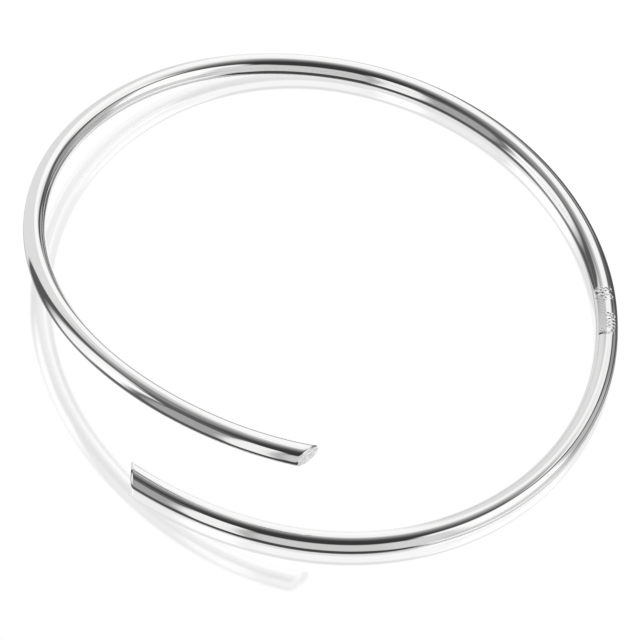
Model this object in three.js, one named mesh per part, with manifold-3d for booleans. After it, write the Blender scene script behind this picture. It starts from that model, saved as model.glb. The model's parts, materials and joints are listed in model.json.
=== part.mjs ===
// Bypass bangle: one round silver tube bent through a little more than a full turn. Its ends pass
// each other at the front, are cut on a slant and are closed by soldered caps, and a small curved
// mark plate sits on top of one flank. Millimetres, +Z up, lying on the plane z = 0.
import * as THREE from "three";
import { mergeVertices } from "three/addons/utils/BufferGeometryUtils.js";
import Module from "manifold-3d";

const wasm = await Module();
wasm.setup();

const degree = Math.PI / 180;

// Driving dimensions.
const tube = { diameter: 2.5, wall: 0.35, sides: 20, millimetresPerStep: 2.6 };
const bangle = {
  innerDiameter: 60,
  lowerEnd: -123.8 * degree, // directions seen from above, measured from +X
  upperEnd: 270 * degree,
  wind: 0.058, // from its middle to each end, the tube winds by this fraction of the radius
  flare: 0.045, // both ends stand out from that even spiral by this fraction
  oval: 0.061, // the long radius exceeds the mean by this fraction
  ovalDirection: -34 * degree,
  egg: 0.0067, // one end of the oval is blunter by this fraction
  eggDirection: 56 * degree,
  riseStart: 88 * degree, // up to here the tube lies on the table
  rise: 12.6, // height of the upper end above the lower one
};
const spring = { gap: 0.3 }; // the two halves meet here, at the middle of the back
const cap = { slant: 35 * degree, thickness: 0.4, solderGap: 0.05, spigotLength: 1.2, play: 0.3 };
const plate = {
  direction: -3.5 * degree,
  tilt: 7 * degree, // from straight up, towards the inside
  length: 6,
  width: 2.3,
  thickness: 0.12,
  solderGap: 0.06,
};
const angleStep = 1e-4; // for directions along the tube

const tubeRadius = tube.diameter / 2;
const boreRadius = tubeRadius - tube.wall;
const meanRadius = (bangle.innerDiameter + tube.diameter) / 2;
const middleOfBack = (bangle.lowerEnd + bangle.upperEnd) / 2;
const cutAllowance = (2 * tubeRadius) / meanRadius; // extra turn that the slanted cut trims off

const silver = { color: 0xf2f2f0, metalness: 1 };
const materials = {
  band: new THREE.MeshStandardMaterial({ ...silver, roughness: 0.05 }),
  cap: new THREE.MeshStandardMaterial({ ...silver, roughness: 0.1 }),
  plate: new THREE.MeshStandardMaterial({ ...silver, roughness: 0.25 }),
};

// The middle of the tube at a direction round the bangle.
function centreAt(angle) {
  const turn = (2 * (angle - middleOfBack)) / (bangle.upperEnd - bangle.lowerEnd);
  const radius =
    meanRadius *
    (1 +
      bangle.oval * Math.cos(2 * (angle - bangle.ovalDirection)) +
      bangle.egg * Math.cos(3 * (angle - bangle.eggDirection)) -
      bangle.wind * turn +
      bangle.flare * (turn * turn - 1 / 3));
  const ramp = THREE.MathUtils.smoothstep(angle, bangle.riseStart, bangle.upperEnd);
  return new THREE.Vector3(
    radius * Math.cos(angle),
    radius * Math.sin(angle),
    tubeRadius + bangle.rise * ramp,
  );
}

class BandCurve extends THREE.Curve {
  constructor(from, to) {
    super();
    this.from = from;
    this.to = to;
    this.arcLengthDivisions = 400;
  }
  getPoint(t, target = new THREE.Vector3()) {
    return target.copy(centreAt(this.from + (this.to - this.from) * t));
  }
}

function roundBar(from, to, radius, holeRadius = 0) {
  const section = new THREE.Shape().absarc(0, 0, radius, 0, 2 * Math.PI);
  if (holeRadius > 0) section.holes.push(new THREE.Path().absarc(0, 0, holeRadius, 0, 2 * Math.PI));
  const path = new BandCurve(from, to);
  return new THREE.ExtrudeGeometry(section, {
    curveSegments: tube.sides / 2, // three.js gives a full circle twice this many sides
    steps: Math.max(2, Math.round(path.getLength() / tube.millimetresPerStep)),
    extrudePath: path,
    bevelEnabled: false,
  });
}

function solidOf(geometry) {
  geometry.deleteAttribute("normal");
  geometry.deleteAttribute("uv");
  const merged = mergeVertices(geometry, 1e-4);
  return new wasm.Manifold(
    new wasm.Mesh({
      numProp: 3,
      vertProperties: merged.attributes.position.array,
      triVerts: new Uint32Array(merged.index.array),
    }),
  );
}

function geometryOf(solid) {
  const { numProp, vertProperties, triVerts } = solid.getMesh();
  const positions = new THREE.BufferAttribute(vertProperties, numProp);
  const geometry = new THREE.BufferGeometry().setAttribute("position", positions);
  return geometry.setIndex(new THREE.BufferAttribute(triVerts, 1)).toNonIndexed();
}

// The frame of an end cut: its origin is the tube's end point and z is the cut's outward normal.
// The cut stands upright and faces away from the middle of the bangle.
function cutFrame(angle, outwardTurn) {
  const origin = centreAt(angle);
  const along = centreAt(angle + outwardTurn * angleStep).sub(origin);
  along.setZ(0).normalize();
  const outward = new THREE.Vector3(along.y, -along.x, 0).multiplyScalar(outwardTurn);
  const normal = along.multiplyScalar(Math.cos(cap.slant));
  normal.addScaledVector(outward, Math.sin(cap.slant));
  const up = new THREE.Vector3(0, 0, 1);
  const across = new THREE.Vector3().crossVectors(up, normal);
  return new THREE.Matrix4().makeBasis(across, up, normal).setPosition(origin);
}

// A block across the whole end cut, from one depth to another along the cut's normal.
function slab(frame, from, to) {
  const breadth = 6 * tubeRadius;
  const block = new THREE.BoxGeometry(breadth, breadth, to - from);
  return solidOf(block.translate(0, 0, (from + to) / 2).applyMatrix4(frame));
}

// A short bar about an end, long enough for the cut, the cap and its spigot.
function barAtEnd(end, radius) {
  const reach = cutAllowance + (cap.spigotLength + cap.thickness) / meanRadius;
  return solidOf(roundBar(end.angle - reach, end.angle + reach, radius));
}

function bandHalf(end) {
  const halfGap = spring.gap / 2 / meanRadius;
  const inner = middleOfBack + end.outwardTurn * halfGap;
  const outer = end.angle + end.outwardTurn * cutAllowance;
  const [from, to] = end.outwardTurn > 0 ? [inner, outer] : [outer, inner];
  const waste = slab(cutFrame(end.angle, end.outwardTurn), 0, 4 * tubeRadius);
  return solidOf(roundBar(from, to, tubeRadius, boreRadius)).subtract(waste);
}

function endCap(end) {
  const frame = cutFrame(end.angle, end.outwardTurn);
  const face = cap.solderGap + cap.thickness;
  const disc = barAtEnd(end, tubeRadius).intersect(slab(frame, cap.solderGap, face));
  const overlap = cap.thickness / 2; // the spigot runs this far into the disc
  const spigotSlab = slab(frame, -cap.spigotLength, cap.solderGap + overlap);
  return disc.add(barAtEnd(end, boreRadius - cap.play).intersect(spigotSlab));
}

// A short bar that runs past both ends of the mark plate.
function barAtPlate(radius) {
  const halfTurn = plate.length / meanRadius;
  return solidOf(roundBar(plate.direction - halfTurn, plate.direction + halfTurn, radius));
}

function markPlate() {
  const centre = centreAt(plate.direction);
  const along = centreAt(plate.direction + angleStep).sub(centre).normalize();
  const inwards = new THREE.Vector3(-along.y, along.x, 0);
  const normal = inwards.multiplyScalar(Math.sin(plate.tilt));
  normal.add(new THREE.Vector3(0, 0, Math.cos(plate.tilt))).normalize();
  const across = new THREE.Vector3().crossVectors(normal, along);
  const frame = new THREE.Matrix4().makeBasis(along, across, normal).setPosition(centre);
  const underside = tubeRadius + plate.solderGap;
  const block = new THREE.BoxGeometry(plate.length, plate.width, tube.diameter);
  const outline = solidOf(block.translate(0, 0, tubeRadius).applyMatrix4(frame));
  return barAtPlate(underside + plate.thickness).intersect(outline).subtract(barAtPlate(underside));
}

function named(name, solid, material) {
  const mesh = new THREE.Mesh(geometryOf(solid), material);
  mesh.name = name;
  return mesh;
}

const lowerEnd = { angle: bangle.lowerEnd, outwardTurn: -1 };
const upperEnd = { angle: bangle.upperEnd, outwardTurn: 1 };

const model = new THREE.Group();
model.add(
  named("lower_half_band", bandHalf(lowerEnd), materials.band),
  named("upper_half_band", bandHalf(upperEnd), materials.band),
  named("lower_end_cap", endCap(lowerEnd), materials.cap),
  named("upper_end_cap", endCap(upperEnd), materials.cap),
  named("mark_plate", markPlate(), materials.plate),
);

// The origin is the middle of the bangle's box, on the table.
const box = new THREE.Box3().setFromObject(model, true);
const middle = box.getCenter(new THREE.Vector3());
model.position.set(-middle.x, -middle.y, -box.min.z);

export default model;
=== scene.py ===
import json
import math

import bpy
import numpy as np
from mathutils import Matrix, Vector


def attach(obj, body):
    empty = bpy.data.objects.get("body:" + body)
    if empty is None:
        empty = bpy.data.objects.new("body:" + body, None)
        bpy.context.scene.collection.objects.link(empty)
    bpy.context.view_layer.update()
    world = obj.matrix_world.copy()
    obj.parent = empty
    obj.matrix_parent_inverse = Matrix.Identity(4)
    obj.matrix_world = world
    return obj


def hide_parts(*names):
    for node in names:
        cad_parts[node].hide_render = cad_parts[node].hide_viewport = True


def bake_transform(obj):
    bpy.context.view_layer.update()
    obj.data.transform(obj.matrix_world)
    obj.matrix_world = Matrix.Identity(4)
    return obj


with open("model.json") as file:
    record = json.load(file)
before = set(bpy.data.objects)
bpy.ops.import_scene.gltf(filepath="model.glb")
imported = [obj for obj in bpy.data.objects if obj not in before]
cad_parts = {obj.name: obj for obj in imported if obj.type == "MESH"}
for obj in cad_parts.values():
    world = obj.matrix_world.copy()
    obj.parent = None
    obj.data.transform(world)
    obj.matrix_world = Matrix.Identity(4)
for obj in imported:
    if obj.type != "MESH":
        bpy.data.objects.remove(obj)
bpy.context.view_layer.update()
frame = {"record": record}

mm = 0.001
degree = math.pi / 180
scene = bpy.context.scene


# Arithmetic on node sockets: each sign adds one Math node to the tree.
class Field:
    def __init__(self, tree, socket):
        self.tree = tree
        self.socket = socket

    def __add__(self, other):
        return mathField("ADD", self, other)

    def __sub__(self, other):
        return mathField("SUBTRACT", self, other)

    def __mul__(self, other):
        return mathField("MULTIPLY", self, other)

    def __truediv__(self, other):
        return mathField("DIVIDE", self, other)

    def __rsub__(self, other):
        return mathField("SUBTRACT", other, self)

    __radd__ = __add__
    __rmul__ = __mul__


def plug(tree, value, socket):
    if isinstance(value, Field):
        tree.links.new(value.socket, socket)
    elif value is not None:
        socket.default_value = value


def treeOf(values):
    return next(value.tree for value in values if isinstance(value, Field))


def mathField(operation, *values):
    tree = treeOf(values)
    node = tree.nodes.new("ShaderNodeMath")
    node.operation = operation
    for value, socket in zip(values, node.inputs):
        plug(tree, value, socket)
    return Field(tree, node.outputs[0])


def vectorField(operation, *values):
    tree = treeOf(values)
    node = tree.nodes.new("ShaderNodeVectorMath")
    node.operation = operation
    sockets = [socket for socket in node.inputs if socket.type == "VECTOR"]
    for value, socket in zip(values, sockets):
        plug(tree, value, socket)
    output = "Value" if operation == "DOT_PRODUCT" else "Vector"
    return Field(tree, node.outputs[output])


def scaledField(vector, amount):
    tree = vector.tree
    node = tree.nodes.new("ShaderNodeVectorMath")
    node.operation = "SCALE"
    plug(tree, vector, node.inputs["Vector"])
    plug(tree, amount, node.inputs["Scale"])
    return Field(tree, node.outputs["Vector"])


def ramp(value, start, end, low=0.0, high=1.0, kind="SMOOTHSTEP"):
    tree = treeOf([value])
    node = tree.nodes.new("ShaderNodeMapRange")
    node.interpolation_type = kind
    given = {"Value": value, "From Min": start, "From Max": end, "To Min": low, "To Max": high}
    for name, amount in given.items():
        plug(tree, amount, node.inputs[name])
    return Field(tree, node.outputs["Result"])


def joined(tree, x, y, z):
    node = tree.nodes.new("ShaderNodeCombineXYZ")
    for value, socket in zip((x, y, z), node.inputs):
        plug(tree, value, socket)
    return Field(tree, node.outputs[0])


def parted(vector):
    node = vector.tree.nodes.new("ShaderNodeSeparateXYZ")
    plug(vector.tree, vector, node.inputs[0])
    return [Field(vector.tree, socket) for socket in node.outputs]


def addNode(tree, kind, settings=None, **values):
    node = tree.nodes.new(kind)
    for name, value in (settings or {}).items():
        setattr(node, name, value)
    for name, value in values.items():
        plug(tree, value, node.inputs[name.replace("_", " ")])
    return node


def outputOf(node, name=0):
    return Field(node.id_data, node.outputs[name])


def mixedShader(tree, share, first, second):
    node = tree.nodes.new("ShaderNodeMixShader")
    for value, socket in zip((share, first, second), node.inputs):
        plug(tree, value, socket)
    return outputOf(node)


socketKinds = {int: "NodeSocketInt", float: "NodeSocketFloat", Vector: "NodeSocketVector",
               bpy.types.Material: "NodeSocketMaterial"}


def newTree(name, kind, given, made):
    # given: input names and their first values; made: output names and their socket kinds
    tree = bpy.data.node_groups.new(name, kind)
    for label, value in given.items():
        socket = tree.interface.new_socket(label, in_out="INPUT", socket_type=socketKinds[type(value)])
        socket.default_value = value
    for label, socketKind in made.items():
        tree.interface.new_socket(label, in_out="OUTPUT", socket_type=socketKind)
    start = tree.nodes.new("NodeGroupInput")
    end = tree.nodes.new("NodeGroupOutput")
    return tree, {label: Field(tree, start.outputs[label]) for label in given}, end


# The route of the tube.
band = {
    "innerDiameter": 60 * mm,
    "tubeDiameter": 2.5 * mm,
    "lowerEnd": -123.8 * degree,    # directions seen from above, measured from +X
    "upperEnd": 270 * degree,
    "wind": 0.058,                  # from its middle to each end, the tube winds in by this share
    "flare": 0.045,                 # both ends stand out from that even spiral by this share
    "oval": 0.061,                  # the long radius exceeds the mean one by this share
    "ovalDirection": -34 * degree,
    "egg": 0.0067,                  # one end of the oval is blunter by this share
    "eggDirection": 56 * degree,
    "riseStart": 88 * degree,       # up to here the tube lies on the table
    "rise": 12.6 * mm,              # height of the upper end above the lower one
}
cap = {
    "thickness": 0.4 * mm,
    "solderGap": 0.05 * mm,         # between the cap and the end of the tube
    "seam": 0.004 * mm,             # what is left of that gap once the solder has filled it
    "rim": 0.3 * mm,                # rounding of the polished rim
    "dish": 0.03 * mm,              # the filed face is this much hollow
    "backRing": 0.5,                # a ring in the back of the cap, as a share of the radius
    "sideRing": 1.3,                # the last straight ring of its side, in rims below the face
    "sides": 96,
    "rimRings": 10,
    "faceRings": 16,
}
tubeRadius = band["tubeDiameter"] / 2
meanRadius = (band["innerDiameter"] + band["tubeDiameter"]) / 2
middleOfBack = (band["lowerEnd"] + band["upperEnd"]) / 2
endFaces = {mount["name"]: mount for mount in frame["record"]["mounts"]}


def smoothstep(value, start, end):
    share = min(max((value - start) / (end - start), 0), 1)
    return share * share * (3 - 2 * share)


def routeAt(angle):
    turn = 2 * (angle - middleOfBack) / (band["upperEnd"] - band["lowerEnd"])
    radius = meanRadius * (
        1
        + band["oval"] * math.cos(2 * (angle - band["ovalDirection"]))
        + band["egg"] * math.cos(3 * (angle - band["eggDirection"]))
        - band["wind"] * turn
        + band["flare"] * (turn * turn - 1 / 3)
    )
    height = tubeRadius + band["rise"] * smoothstep(angle, band["riseStart"], band["upperEnd"])
    return Vector((radius * math.cos(angle), radius * math.sin(angle), height))


def cutOf(mountName):
    # a point and the outward normal of the plane in which the tube is cut off
    normal = Vector(endFaces[mountName]["axis"])
    face = Vector(endFaces[mountName]["pos_m"])
    return face - normal * (cap["thickness"] + cap["solderGap"]), normal


lowerCut, lowerNormal = cutOf("lower_end_face")
upperCut, upperNormal = cutOf("upper_end_face")
bandPlace = lowerCut - routeAt(band["lowerEnd"])    # from the route's own centre to the frame


def tubeFrame(angle):
    # the tube's middle, and unit vectors along it, level and outwards, and upwards across it
    step = 0.1 * degree
    along = (routeAt(angle + step) - routeAt(angle - step)).normalized()
    outwards = along.cross(Vector((0, 0, 1))).normalized()
    return routeAt(angle) + bandPlace, along, outwards, outwards.cross(along)


silverColour = (0.95, 0.949, 0.946)
polishMarks = {
    "stretch": 60,                  # the lines are this many times longer than wide
    "cloudScale": 0.45,
    "cloudFrom": 0.35,
    "cloudTo": 0.7,
}


def finePolish():
    # polishing lines that run along the tube, and a faint uneven haze between them
    tree, given, end = newTree(
        "finePolish", "ShaderNodeTree",
        {"place": Vector(), "lineSpacing": 0.05, "haze": 0.02, "smoothness": 0.04},
        {"roughness": "NodeSocketFloat", "height": "NodeSocketFloat"},
    )
    along, across, upwards = parted(given["place"])
    spacing = given["lineSpacing"]
    stretched = joined(tree, along / (spacing * polishMarks["stretch"]), across / spacing, upwards / spacing)
    lines = addNode(tree, "ShaderNodeTexNoise", {"noise_dimensions": "3D"},
                    Vector=stretched, Scale=1.0, Detail=2.0, Roughness=0.6)
    clouds = addNode(tree, "ShaderNodeTexNoise", {"noise_dimensions": "3D"},
                     Vector=given["place"], Scale=polishMarks["cloudScale"], Detail=3.0, Roughness=0.55)
    lineShare = outputOf(lines, "Fac")
    cloudShare = ramp(outputOf(clouds, "Fac"), polishMarks["cloudFrom"], polishMarks["cloudTo"])
    plug(tree, given["smoothness"] + given["haze"] * lineShare * cloudShare, end.inputs["roughness"])
    plug(tree, lineShare, end.inputs["height"])
    return tree


polishGroup = finePolish()


def silver(name, lineSpacing, haze, smoothness, lineDepth, satin=None):
    material = bpy.data.materials.new(name)
    material.use_nodes = True
    tree = material.node_tree
    shader = tree.nodes["Principled BSDF"]
    shader.inputs["Base Color"].default_value = (*silverColour, 1)
    shader.inputs["Metallic"].default_value = 1
    place = outputOf(addNode(tree, "ShaderNodeAttribute", {"attribute_name": "metalPlace"}), "Vector")
    polish = addNode(tree, "ShaderNodeGroup", {"node_tree": polishGroup},
                     place=place, lineSpacing=lineSpacing, haze=haze, smoothness=smoothness)
    roughness = outputOf(polish, "roughness")
    if satin is not None:
        matt = outputOf(addNode(tree, "ShaderNodeAttribute", {"attribute_name": "matt"}), "Fac")
        roughness = roughness + matt * satin
    plug(tree, roughness, shader.inputs["Roughness"])
    height = outputOf(polish, "height")
    bump = addNode(tree, "ShaderNodeBump", Strength=1.0, Distance=lineDepth, Height=height)
    plug(tree, outputOf(bump), shader.inputs["Normal"])
    return material


bandSilver = silver("polishedSilver", lineSpacing=0.16, haze=0.015, smoothness=0.018, lineDepth=0.0003 * mm)
capSilver = silver("endCapSilver", lineSpacing=0.2, haze=0.04, smoothness=0.03, lineDepth=0.002 * mm,
                   satin=0.03)
plateSilver = silver("markPlateSilver", lineSpacing=0.16, haze=0.02, smoothness=0.025,
                     lineDepth=0.0004 * mm, satin=0.32)
print("silver made")


# The band is one tube swept along its route by Geometry Nodes, and sheared to the two slanted cuts.
bandMesh = {
    "stations": 640,
    "sides": 96,
    "shearLength": 5 * mm,          # the rings lean over towards a cut along this length
    "bendLength": 60 * mm,          # length of the stretch at the back where the real bangle gives when it is sprung open
    "sharpCorner": 30 * degree,
}


def bandRoute(tree, given, angle):
    turn = 2.0 * (angle - given["middleOfBack"]) / (given["upperEnd"] - given["lowerEnd"])
    ovalPart = given["oval"] * mathField("COSINE", 2.0 * (angle - given["ovalDirection"]))
    eggPart = given["egg"] * mathField("COSINE", 3.0 * (angle - given["eggDirection"]))
    spiral = given["flare"] * (turn * turn - 1 / 3) - given["wind"] * turn
    radius = given["meanRadius"] * (1.0 + ovalPart + eggPart + spiral)
    lift = ramp(angle, given["riseStart"], given["upperEnd"], 0.0, given["rise"])
    onTable = joined(tree, radius * mathField("COSINE", angle), radius * mathField("SINE", angle),
                     given["tubeRadius"] + lift)
    return vectorField("ADD", onTable, given["place"])


def kept(tree, geometry, name, value, kind="FLOAT"):
    node = addNode(tree, "GeometryNodeStoreNamedAttribute", {"data_type": kind, "domain": "POINT"},
                   Geometry=geometry, Name=name, Value=value)
    return outputOf(node, "Geometry")


def recalled(tree, name, kind="FLOAT"):
    node = addNode(tree, "GeometryNodeInputNamedAttribute", {"data_type": kind}, Name=name)
    return outputOf(node, "Attribute")


def leanTo(tree, normal, fromEnd, shearLength):
    # how far a point moves along the tube for its ring to lie in the plane of the cut
    along = recalled(tree, "alongTube", "FLOAT_VECTOR")
    position = outputOf(addNode(tree, "GeometryNodeInputPosition"))
    across = vectorField("SUBTRACT", position, recalled(tree, "middleOfTube", "FLOAT_VECTOR"))
    depth = vectorField("DOT_PRODUCT", across, normal) / vectorField("DOT_PRODUCT", along, normal)
    share = mathField("MAXIMUM", 1.0 - fromEnd / shearLength, 0.0)
    return scaledField(along, depth * share * -1.0)


def bandTree(values):
    tree, given, end = newTree("bypassBand", "GeometryNodeTree", values, {"band": "NodeSocketGeometry"})
    line = addNode(tree, "GeometryNodeCurvePrimitiveLine")
    points = addNode(tree, "GeometryNodeResampleCurve", Curve=outputOf(line), Count=given["stations"])
    share = outputOf(addNode(tree, "GeometryNodeSplineParameter"), "Factor")
    angle = given["lowerEnd"] + share * (given["upperEnd"] - given["lowerEnd"])
    path = outputOf(addNode(tree, "GeometryNodeSetPosition", Geometry=outputOf(points),
                            Position=bandRoute(tree, given, angle)))
    path = outputOf(addNode(tree, "GeometryNodeSetCurveNormal", {"mode": "Z_UP"}, Curve=path))
    parameter = addNode(tree, "GeometryNodeSplineParameter")
    fromLower = outputOf(parameter, "Length")
    whole = outputOf(addNode(tree, "GeometryNodeSplineLength"), "Length")
    path = kept(tree, path, "fromLowerEnd", fromLower)
    path = kept(tree, path, "fromUpperEnd", whole - fromLower)
    tangent = outputOf(addNode(tree, "GeometryNodeInputTangent"))
    position = outputOf(addNode(tree, "GeometryNodeInputPosition"))
    path = kept(tree, path, "alongTube", tangent, "FLOAT_VECTOR")
    path = kept(tree, path, "middleOfTube", position, "FLOAT_VECTOR")

    ring = outputOf(addNode(tree, "GeometryNodeCurvePrimitiveCircle", Resolution=given["sides"],
                            Radius=given["tubeRadius"]), "Curve")
    ring = kept(tree, ring, "placeInRing", position, "FLOAT_VECTOR")
    tube = addNode(tree, "GeometryNodeCurveToMesh", Curve=path, Profile_Curve=ring, Fill_Caps=True)
    lower = leanTo(tree, given["lowerNormal"], recalled(tree, "fromLowerEnd"), given["shearLength"])
    upper = leanTo(tree, given["upperNormal"], recalled(tree, "fromUpperEnd"), given["shearLength"])
    leaning = outputOf(addNode(tree, "GeometryNodeSetPosition", Geometry=outputOf(tube),
                               Offset=vectorField("ADD", lower, upper)))

    acrossRing, upRing, unused = parted(scaledField(recalled(tree, "placeInRing", "FLOAT_VECTOR"), 1 / mm))
    place = joined(tree, recalled(tree, "fromLowerEnd") * (1 / mm), acrossRing, upRing)
    marked = kept(tree, leaning, "metalPlace", place, "FLOAT_VECTOR")
    smooth = outputOf(addNode(tree, "GeometryNodeSetShadeSmooth", {"domain": "FACE"}, Geometry=marked))
    corner = outputOf(addNode(tree, "GeometryNodeInputMeshEdgeAngle"), "Unsigned Angle")
    edges = outputOf(addNode(tree, "GeometryNodeSetShadeSmooth", {"domain": "EDGE"}, Geometry=smooth,
                             Selection=mathField("GREATER_THAN", corner, bandMesh["sharpCorner"]),
                             Shade_Smooth=False))
    real = outputOf(addNode(tree, "GeometryNodeRealizeInstances", Geometry=edges))
    finished = outputOf(addNode(tree, "GeometryNodeSetMaterial", Geometry=real, Material=given["metal"]))
    plug(tree, finished, end.inputs["band"])
    return tree


def plainMesh(name, tree, values):
    # runs a Geometry Nodes tree with these values and keeps its result as an ordinary mesh object
    maker = bpy.data.objects.new(name + "Maker", bpy.data.meshes.new(name + "Maker"))
    scene.collection.objects.link(maker)
    modifier = maker.modifiers.new(name, "NODES")
    modifier.node_group = tree
    for item in tree.interface.items_tree:
        if item.in_out == "INPUT":
            modifier[item.identifier] = values[item.name]
    depsgraph = bpy.context.evaluated_depsgraph_get()
    mesh = bpy.data.meshes.new_from_object(maker.evaluated_get(depsgraph), preserve_all_data_layers=True,
                                           depsgraph=depsgraph)
    bpy.data.objects.remove(maker)
    made = bpy.data.objects.new(name, mesh)
    mesh.name = name
    scene.collection.objects.link(made)
    return made


def floats(mesh, attributeName):
    values = np.zeros(len(mesh.vertices), np.float32)
    mesh.attributes[attributeName].data.foreach_get("value", values)
    return values


routeNames = ("lowerEnd", "upperEnd", "wind", "flare", "oval", "ovalDirection", "egg", "eggDirection",
              "riseStart", "rise")
bandValues = {
    **{name: band[name] for name in routeNames},
    "meanRadius": meanRadius,
    "tubeRadius": tubeRadius,
    "middleOfBack": middleOfBack,
    "place": bandPlace,
    "lowerNormal": lowerNormal,
    "upperNormal": upperNormal,
    "stations": bandMesh["stations"],
    "sides": bandMesh["sides"],
    "shearLength": bandMesh["shearLength"],
    "metal": bandSilver,
}
tubeBand = plainMesh("bypass_band", bandTree(bandValues), bandValues)
fromLowerEnd = floats(tubeBand.data, "fromLowerEnd")
fromUpperEnd = floats(tubeBand.data, "fromUpperEnd")
for name in ("fromLowerEnd", "fromUpperEnd", "alongTube", "middleOfTube", "placeInRing"):
    tubeBand.data.attributes.remove(tubeBand.data.attributes[name])
print("band made:", len(tubeBand.data.polygons), "faces")


sharpCorner = 40 * degree           # of the caps and the plate


def ringMesh(name, rings, material, places, matt):
    # rings is an array (ring, point, axis) that runs outwards; each end ring is closed with a fan
    ringCount, pointCount, unused = rings.shape
    vertices = np.concatenate([rings.reshape(-1, 3), rings[[0, -1]].mean(1)])
    following = np.roll(np.arange(pointCount), -1)
    faces = []
    for ring in range(ringCount - 1):
        here, there = ring * pointCount, (ring + 1) * pointCount
        faces += [(here + j, here + i, there + i, there + j) for i, j in enumerate(following)]
    firstPole, lastPole = len(vertices) - 2, len(vertices) - 1
    lastRing = (ringCount - 1) * pointCount
    faces += [(i, j, firstPole) for i, j in enumerate(following)]
    faces += [(lastRing + j, lastRing + i, lastPole) for i, j in enumerate(following)]
    mesh = bpy.data.meshes.new(name)
    mesh.from_pydata([tuple(v) for v in vertices], [], faces)
    places = np.concatenate([places.reshape(-1, 3), places[[0, -1]].mean(1)])
    matt = np.concatenate([matt.reshape(-1), matt[[0, -1]].mean(1)])
    return finishedMesh(name, mesh, material, places, matt)


def finishedMesh(name, mesh, material, places, matt):
    mesh.materials.append(material)
    mesh.polygons.foreach_set("use_smooth", [True] * len(mesh.polygons))
    attribute = mesh.attributes.new("metalPlace", "FLOAT_VECTOR", "POINT")
    attribute.data.foreach_set("vector", (places / mm).astype(np.float32).ravel())
    attribute = mesh.attributes.new("matt", "FLOAT", "POINT")
    attribute.data.foreach_set("value", matt.astype(np.float32).ravel())
    mesh.set_sharp_from_angle(angle=sharpCorner)
    mesh.validate()
    made = bpy.data.objects.new(name, mesh)
    scene.collection.objects.link(made)
    return made


def bumps(x, y, seed, size, waves=24):
    # a soft random relief between about -1 and 1, made of sine waves
    draw = np.random.default_rng(seed)
    total = np.zeros_like(x)
    for _ in range(waves):
        direction = draw.uniform(0, 2 * math.pi)
        length = size * draw.uniform(0.6, 1.6)
        phase = draw.uniform(0, 2 * math.pi)
        total += np.sin((x * math.cos(direction) + y * math.sin(direction)) * 2 * math.pi / length + phase)
    return total / math.sqrt(waves)


capFace = {
    "toolMarks": 0.035 * mm,
    "toolMarkSize": 0.8 * mm,
    "edge": 0.6,                    # the marks begin this share of the rim in from the side
    "fade": 0.35 * mm,              # and reach their full depth over this width
}


def endCap(name, angle, outwardTurn, cut, normal, seed):
    unusedMiddle, along, outwards, upwards = tubeFrame(angle)
    along = along * outwardTurn
    face = cap["thickness"] + cap["solderGap"]
    rim = cap["rim"]
    arc = np.linspace(0, math.pi / 2, cap["rimRings"])
    rimRadii = tubeRadius - rim * (1 - np.cos(arc))
    rimDepths = face - rim * (1 - np.sin(arc))
    faceRadii = np.linspace(rimRadii[-1], 0, cap["faceRings"] + 2)[1:-1]
    backRadii = [tubeRadius * cap["backRing"], tubeRadius, tubeRadius]
    backDepths = [cap["seam"], cap["seam"], face - rim * cap["sideRing"]]
    radii = np.concatenate([backRadii, rimRadii, faceRadii])
    depths = np.concatenate([backDepths, rimDepths, np.full(len(faceRadii), face)])

    turn = np.linspace(0, 2 * math.pi, cap["sides"], endpoint=False) * outwardTurn
    spokes = np.outer(np.cos(turn), outwards) + np.outer(np.sin(turn), upwards)
    lean = -(spokes @ np.array(normal)) / along.dot(normal)
    flat = spokes + np.outer(lean, along)                # spokes that lie in the plane of the cut
    centres = np.array(cut) + np.outer(depths / along.dot(normal), along)
    rings = centres[:, None, :] + radii[:, None, None] * flat[None, :, :]

    x = radii[:, None] * np.cos(turn)
    y = radii[:, None] * np.sin(turn)
    inFrom = (tubeRadius - rim * capFace["edge"] - radii) / capFace["fade"]
    onFace = (np.clip(inFrom, 0, 1) * (depths > face - rim))[:, None]
    relief = capFace["toolMarks"] * bumps(x, y, seed, capFace["toolMarkSize"]) - cap["dish"]
    rings = rings + (relief * onFace)[:, :, None] * np.array(normal)
    places = np.stack([x, y, np.broadcast_to(depths[:, None], x.shape)], axis=-1)
    return ringMesh(name, rings, capSilver, places, onFace * np.ones_like(x))


lowerCap = endCap("polished_end_cap_lower", band["lowerEnd"], -1, lowerCut, lowerNormal, seed=11)
upperCap = endCap("polished_end_cap_upper", band["upperEnd"], 1, upperCut, upperNormal, seed=12)
print("end caps made")


# The mark plate is a thin saddle on the tube with plain punched marks.
plate = {
    "direction": -3.5 * degree,
    "length": 6.4 * mm,
    "inwards": 76 * degree,         # how far round the tube it reaches, from straight up
    "outwards": 62 * degree,
    "proud": 0.05 * mm,
    "sunk": 0.012 * mm,             # its thin edges dive this far into the tube
    "feather": 0.55 * mm,           # its edges thin out over this width
    "step": 0.036 * mm,
    "punchDepth": 0.06 * mm,
    "thickness": 0.1 * mm,          # its underside lies this far inside the tube
}
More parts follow.
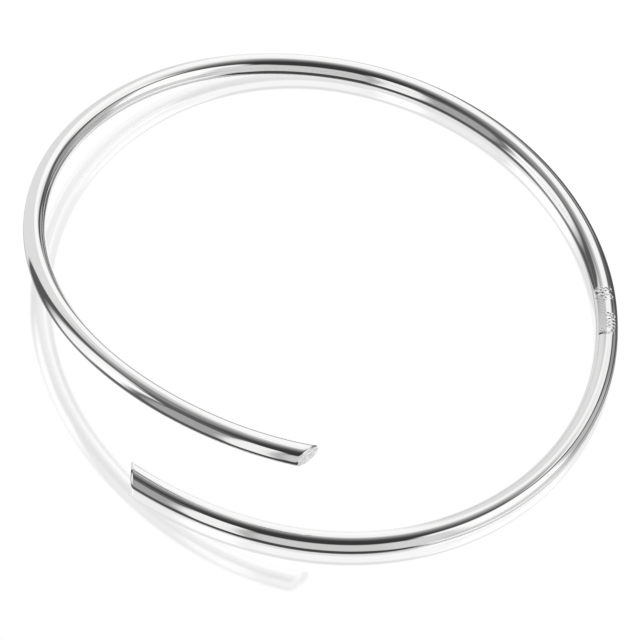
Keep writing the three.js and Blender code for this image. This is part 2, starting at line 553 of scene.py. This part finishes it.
# kind, place along the plate, place across it (inwards is positive), size: millimetres
punches = [
    ("ring", 2.70, 0.60, 0.32),
    ("dot", 2.85, 1.05, 0.18),
    ("ring", 2.45, -0.02, 0.30),
    ("dot", 2.05, 0.35, 0.17),
    ("bar", 1.95, 0.85, 0.32),
    ("dot", 2.60, -0.55, 0.18),
    ("bar", 1.95, -0.15, 0.28),
    ("dot", 1.65, -0.62, 0.18),
    ("dot", 1.45, 0.15, 0.14),
    ("ring", -0.75, -0.50, 0.30),
    ("dot", -0.55, 0.02, 0.17),
    ("bar", -1.25, -0.35, 0.38),
    ("bar", -1.65, -0.42, 0.38),
    ("bar", -2.05, -0.36, 0.38),
    ("dot", -2.50, -0.50, 0.19),
    ("dot", -2.40, 0.70, 0.15),
]
punch = {                           # shares of a mark's size
    "barHalfLength": 0.7,
    "barNarrowing": 1.9,
    "barWidth": 0.42,
    "ringRadius": 0.68,
    "ringWidth": 0.36,
    "dotWidth": 0.8,
    "burr": 0.35,                   # height of the burr, as a share of the depth
    "burrPlace": 1.5,               # where it stands and how wide it is, in widths of the hollow
    "burrWidth": 0.5,
    "steepness": 1.6,
    "barFlat": 0.02 * mm,
}
satinPatch = {
    "along": -0.55 * mm,
    "across": 0.78 * mm,
    "halfLength": 2.3 * mm,
    "halfWidth": 0.52 * mm,
    "soft": 0.22 * mm,
    "grain": 0.22 * mm,
    "grainDepth": 0.0045 * mm,
}


def punched(kind, x, y, size):
    # depth of one struck mark, with a low burr round it; 1 is the full depth
    if kind == "bar":
        beyond = np.maximum(np.abs(y) - size * punch["barHalfLength"], 0)
        away = np.hypot(x * punch["barNarrowing"], beyond) - punch["barFlat"]
        width = size * punch["barWidth"]
    elif kind == "ring":
        away = np.abs(np.hypot(x, y) - size * punch["ringRadius"])
        width = size * punch["ringWidth"]
    else:
        away = np.hypot(x, y)
        width = size * punch["dotWidth"]
    hollow = np.exp(-((away / width) ** 2) * punch["steepness"])
    burr = np.exp(-(((away - width * punch["burrPlace"]) / (width * punch["burrWidth"])) ** 2))
    return hollow - punch["burr"] * burr


def softBox(x, y, halfLength, halfWidth, soft):
    inside = np.clip((halfLength - np.abs(x)) / soft, 0, 1) * np.clip((halfWidth - np.abs(y)) / soft, 0, 1)
    return inside * inside * (3 - 2 * inside)


def markPlate():
    across = np.arange(-plate["outwards"] * tubeRadius, plate["inwards"] * tubeRadius, plate["step"])
    along = np.arange(-plate["length"] / 2, plate["length"] / 2, plate["step"])
    x, y = np.meshgrid(along, across, indexing="ij")
    middleAcross = (across[0] + across[-1]) / 2
    halfWidth = (across[-1] - across[0]) / 2
    cover = softBox(x, y - middleAcross, plate["length"] / 2, halfWidth, plate["feather"])
    matt = softBox(x - satinPatch["along"], y - satinPatch["across"], satinPatch["halfLength"],
                   satinPatch["halfWidth"], satinPatch["soft"])
    relief = np.zeros_like(x)
    for kind, alongPlate, acrossPlate, size in punches:
        relief -= punched(kind, x - alongPlate * mm, y - acrossPlate * mm, size * mm)
    relief = plate["punchDepth"] * np.clip(relief, -1, 1)
    relief += satinPatch["grainDepth"] * matt * bumps(x, y, 5, satinPatch["grain"])
    height = tubeRadius - plate["sunk"] + plate["proud"] * cover + relief * cover
    top = np.zeros((len(along), len(across), 3))
    under = np.zeros_like(top)
    for row, distance in enumerate(along):
        middle, unusedAlong, outwards, upwards = tubeFrame(plate["direction"] + distance / meanRadius)
        spoke = np.outer(np.cos(across / tubeRadius), upwards)
        spoke = spoke - np.outer(np.sin(across / tubeRadius), outwards)
        top[row] = np.array(middle) + height[row][:, None] * spoke
        under[row] = np.array(middle) + (tubeRadius - plate["thickness"]) * spoke
    return plateMesh(top, under, np.stack([x, y, height], axis=-1), matt)


def plateMesh(top, under, places, matt):
    # the marked skin, the same grid turned over below it, and the walls between their edges
    rows, columns, unused = top.shape
    count = rows * columns
    index = np.arange(count).reshape(rows, columns)
    corners = [index[:-1, :-1], index[1:, :-1], index[1:, 1:], index[:-1, 1:]]
    quads = np.stack(corners, axis=-1).reshape(-1, 4)
    border = np.concatenate([index[:-1, 0], index[-1, :-1], index[:0:-1, -1], index[0, :0:-1]])
    following = np.roll(border, -1)
    walls = np.stack([following, border, border + count, following + count], axis=-1)
    faces = np.concatenate([quads, quads[:, ::-1] + count, walls])
    vertices = np.concatenate([top.reshape(-1, 3), under.reshape(-1, 3)])
    mesh = bpy.data.meshes.new("struck_mark_plate")
    mesh.from_pydata(vertices.tolist(), [], faces.tolist())
    return finishedMesh("struck_mark_plate", mesh, plateSilver, np.tile(places.reshape(-1, 3), (2, 1)),
                        np.tile(matt.reshape(-1), 2))


struckPlate = markPlate()
print("mark plate made:", len(struckPlate.data.polygons), "faces")


camera = {
    "elevation": 57.29 * degree,
    "roll": 3.974 * degree,
    "distance": 316.6 * mm,
    "lens": 160.8,
    "sensor": 36,
    "target": Vector((0.139, -3.014, 0)) * mm,
}


def makeCamera():
    forwards = Vector((0, math.cos(camera["elevation"]), -math.sin(camera["elevation"])))
    level = Vector((1, 0, 0))
    upright = level.cross(forwards)
    right = level * math.cos(camera["roll"]) + upright * math.sin(camera["roll"])
    up = upright * math.cos(camera["roll"]) - level * math.sin(camera["roll"])
    data = bpy.data.cameras.new("camera")
    data.lens = camera["lens"]
    data.sensor_width = camera["sensor"]
    data.clip_start = 0.01
    data.clip_end = 20
    made = bpy.data.objects.new("camera", data)
    turned = Matrix((right, up, -forwards)).transposed().to_4x4()
    made.matrix_world = Matrix.Translation(camera["target"] - forwards * camera["distance"]) @ turned
    scene.collection.objects.link(made)
    scene.camera = made


# The room is dark behind the camera and brightens towards the back. In it stand soft white and grey
# cards, each with rounded corners: azimuth from the back, clockwise seen from above, half width,
# elevation, half height, corner radius and softness in degrees, then brightness. A later card stands
# in front of an earlier one. Below the horizon the room shows all of them again, upside down, in
# place of a mirror image in the table.
room = {"dark": 0.04, "light": 0.85, "fade": 2.2, "darkAt": -0.45, "lightAt": 0.45}
cards = [
    (-102, 40, 42, 9, 5, 6, 0.11),      # dark gap above the left window
    (-71, 9, 5, 38, 4, 3, 0.10),        # dark edge of the paper sweep
    (-11, 53, 5, 48, 32, 2, 0.76),      # paper sweep at the back
    (-101, 13, 2, 30, 6, 4, 1.03),      # left window
    (-92, 8, 8, 32, 6, 5, 0.95),
    (-131, 13, 0, 33, 5, 4, 0.37),      # wall in front of it
    (-150, 8, -2, 44, 4, 3, 0.92),      # narrow white strip
    (178, 24, 2, 33, 8, 6, 0.62),       # white card in front
    (58, 22, 5, 34, 6, 4, 0.32),        # wall on the right
    (83, 12, 5, 34, 6, 6, 0.50),
    (72, 28, 47, 11, 5, 4, 0.92),       # shelf above it
    (26, 13, 42, 11, 8, 3, 0.97),       # where the sweep is lit most
    (5, 12, 22, 40, 6, 4, 1.0),
    (26, 12, 2, 10, 5, 3, 0.40),        # shaded foot of the sweep
    (32, 11, 17, 6, 4, 3, 0.07),
    (46, 6, 6, 24, 3, 2.5, 0.13),       # its dark right edge
    (64, 9, 29, 4, 3, 3, 0.26),
    (-58, 22, 60, 15, 13, 12, 0.26),    # ceiling behind the sweep
    (-22, 20, 63, 12, 11, 11, 0.52),
    (0, 16, 58, 12, 8, 5, 0.95),
    (122, 27, 22, 29, 12, 5, 1.03),     # right window
    (150, 12, 5, 33, 6, 5, 0.68),
]
# Changes to that lower half of the room.
floorCards = [
    (110, 33, -21, 14, 6, 5, 0.45),
    (106, 36, -60, 22, 10, 6, 0.92),    # light from the right window
    (-165, 42, -61, 15, 8, 6, 0.07),    # dark in front of the bangle
]
rail = {                                # a dark rail that slopes down from the right window to the sweep
    "bends": [(128, 61), (104, 56), (84, 43), (66, 33), (50, 25)],
    "halfWidth": 5,
    "softness": 3.5,
    "brightness": 0.08,
}


def lightCard():
    tree, given, end = newTree(
        "lightCard", "ShaderNodeTree",
        {"azimuth": 0.0, "elevation": 0.0, "behind": 0.0, "cardAzimuth": 0.0, "halfWidth": 10.0,
         "cardElevation": 0.0, "halfHeight": 10.0, "corner": 0.0, "softness": 5.0, "brightness": 1.0},
        {"light": "NodeSocketFloat"},
    )
    turn = mathField("WRAP", given["azimuth"] - given["cardAzimuth"], 180.0, -180.0)
    sideways = mathField("ABSOLUTE", turn)
    upwards = mathField("ABSOLUTE", given["elevation"] - given["cardElevation"])
    x = sideways - given["halfWidth"] + given["corner"]
    y = upwards - given["halfHeight"] + given["corner"]
    outX = mathField("MAXIMUM", x, 0.0)
    outY = mathField("MAXIMUM", y, 0.0)
    inside = mathField("MINIMUM", mathField("MAXIMUM", x, y), 0.0)
    away = mathField("SQRT", outX * outX + outY * outY) + inside - given["corner"]
    cover = ramp(away, given["softness"], 0.0 - given["softness"])
    plug(tree, given["behind"] + cover * (given["brightness"] - given["behind"]), end.inputs["light"])
    return tree


def lightLine():
    tree, given, end = newTree(
        "lightLine", "ShaderNodeTree",
        {"azimuth": 0.0, "elevation": 0.0, "behind": 0.0, "start": Vector(), "end": Vector(),
         "halfWidth": 1.0, "softness": 1.0, "brightness": 0.0},
        {"light": "NodeSocketFloat"},
    )
    place = vectorField("SUBTRACT", joined(tree, given["azimuth"], given["elevation"], 0.0), given["start"])
    whole = vectorField("SUBTRACT", given["end"], given["start"])
    share = vectorField("DOT_PRODUCT", place, whole) / vectorField("DOT_PRODUCT", whole, whole)
    share = mathField("MINIMUM", mathField("MAXIMUM", share, 0.0), 1.0)
    aside = vectorField("SUBTRACT", place, scaledField(whole, share))
    away = mathField("SQRT", vectorField("DOT_PRODUCT", aside, aside)) - given["halfWidth"]
    cover = ramp(away, given["softness"], 0.0 - given["softness"])
    plug(tree, given["behind"] + cover * (given["brightness"] - given["behind"]), end.inputs["light"])
    return tree


def makeLight():
    world = bpy.data.worlds.new("studio")
    scene.world = world
    world.use_nodes = True
    tree = world.node_tree
    tree.nodes.clear()
    x, y, z = parted(outputOf(addNode(tree, "ShaderNodeTexCoord"), "Generated"))
    azimuth = mathField("DEGREES", mathField("ARCTAN2", x, y))
    elevation = mathField("DEGREES", mathField("ARCSINE", z))
    towardsBack = ramp(y, room["darkAt"], room["lightAt"], kind="LINEAR")
    light = room["dark"] + mathField("POWER", towardsBack, room["fade"]) * (room["light"] - room["dark"])
    cardGroup = lightCard()
    names = ("cardAzimuth", "halfWidth", "cardElevation", "halfHeight", "corner", "softness", "brightness")
    mirrored = mathField("ABSOLUTE", elevation)
    for height, group in ((mirrored, cards), (elevation, floorCards)):
        for card in group:
            light = outputOf(addNode(tree, "ShaderNodeGroup", {"node_tree": cardGroup}, azimuth=azimuth,
                                     elevation=height, behind=light, **dict(zip(names, card))))
    lineGroup = lightLine()
    for start, end in zip(rail["bends"], rail["bends"][1:]):
        light = outputOf(addNode(tree, "ShaderNodeGroup", {"node_tree": lineGroup}, azimuth=azimuth,
                                 elevation=elevation, behind=light, start=(*start, 0), end=(*end, 0),
                                 halfWidth=rail["halfWidth"], softness=rail["softness"],
                                 brightness=rail["brightness"]))
    studio = outputOf(addNode(tree, "ShaderNodeBackground", Color=light))
    plain = outputOf(addNode(tree, "ShaderNodeBackground", Color=(1, 1, 1, 1)))
    seen = outputOf(addNode(tree, "ShaderNodeLightPath"), "Is Camera Ray")
    output = tree.nodes.new("ShaderNodeOutputWorld")
    plug(tree, mixedShader(tree, seen, studio, plain), output.inputs["Surface"])


table = {
    "size": 4.0,
    "white": 1.06,                  # how bright the plain table looks
    "image": 0.3,                   # strength of the bangle's mirror image in it
    "imageBlur": 0.08,
    "selfBlur": 0.03,
    "selfImage": 0.35,              # how clearly the silver sees itself in it
    "shadeFrom": 29.5 * mm,         # from here on, towards the back right, the silver sees it dark
    "shadeTo": 31 * mm,
    "shadeTowards": (0.85, 0.53),
    "shade": 0.85,
    "shadeLight": 0.06,
}


def makeTable():
    half = table["size"] / 2
    mesh = bpy.data.meshes.new("table")
    corners = [(-half, -half, 0), (half, -half, 0), (half, half, 0), (-half, half, 0)]
    mesh.from_pydata(corners, [], [(0, 1, 2, 3)])
    material = bpy.data.materials.new("whiteGloss")
    material.use_nodes = True
    tree = material.node_tree
    tree.nodes.clear()
    colour = (1, 1, 1, 1)
    white = outputOf(addNode(tree, "ShaderNodeEmission", Color=colour, Strength=table["white"]))
    image = outputOf(addNode(tree, "ShaderNodeBsdfGlossy", Color=colour, Roughness=table["imageBlur"]))
    seen = mixedShader(tree, table["image"], white, image)
    gloss = outputOf(addNode(tree, "ShaderNodeBsdfGlossy", Color=colour, Roughness=table["selfBlur"]))
    clear = outputOf(addNode(tree, "ShaderNodeBsdfTransparent"))
    dark = outputOf(addNode(tree, "ShaderNodeEmission", Color=colour, Strength=table["shadeLight"]))
    x, y, unused = parted(outputOf(addNode(tree, "ShaderNodeTexCoord"), "Object"))
    outX, outY = table["shadeTowards"]
    shade = ramp(x * outX + y * outY, table["shadeFrom"], table["shadeTo"], 0.0, table["shade"])
    around = mixedShader(tree, shade, mixedShader(tree, table["selfImage"], clear, gloss), dark)
    toCamera = outputOf(addNode(tree, "ShaderNodeLightPath"), "Is Camera Ray")
    output = tree.nodes.new("ShaderNodeOutputMaterial")
    plug(tree, mixedShader(tree, toCamera, around, seen), output.inputs["Surface"])
    mesh.materials.append(material)
    made = bpy.data.objects.new("table", mesh)
    scene.collection.objects.link(made)


makeCamera()
makeLight()
makeTable()
scene.view_settings.view_transform = "Standard"
print("studio made")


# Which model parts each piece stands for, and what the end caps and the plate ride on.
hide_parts("lower_half_band", "upper_half_band")
backMiddle, backAlong, unusedOut, unusedUp = tubeFrame(middleOfBack)
halfBend = backAlong * bandMesh["bendLength"] / 2
backMiddle - halfBend
backMiddle + halfBend
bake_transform(tubeBand)

for piece, node, body in (
    (lowerCap, "lower_end_cap", "lower_half"),
    (upperCap, "upper_end_cap", "upper_half"),
):
    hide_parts(node)
    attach(piece, body)
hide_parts("mark_plate")
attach(struckPlate, "lower_half")
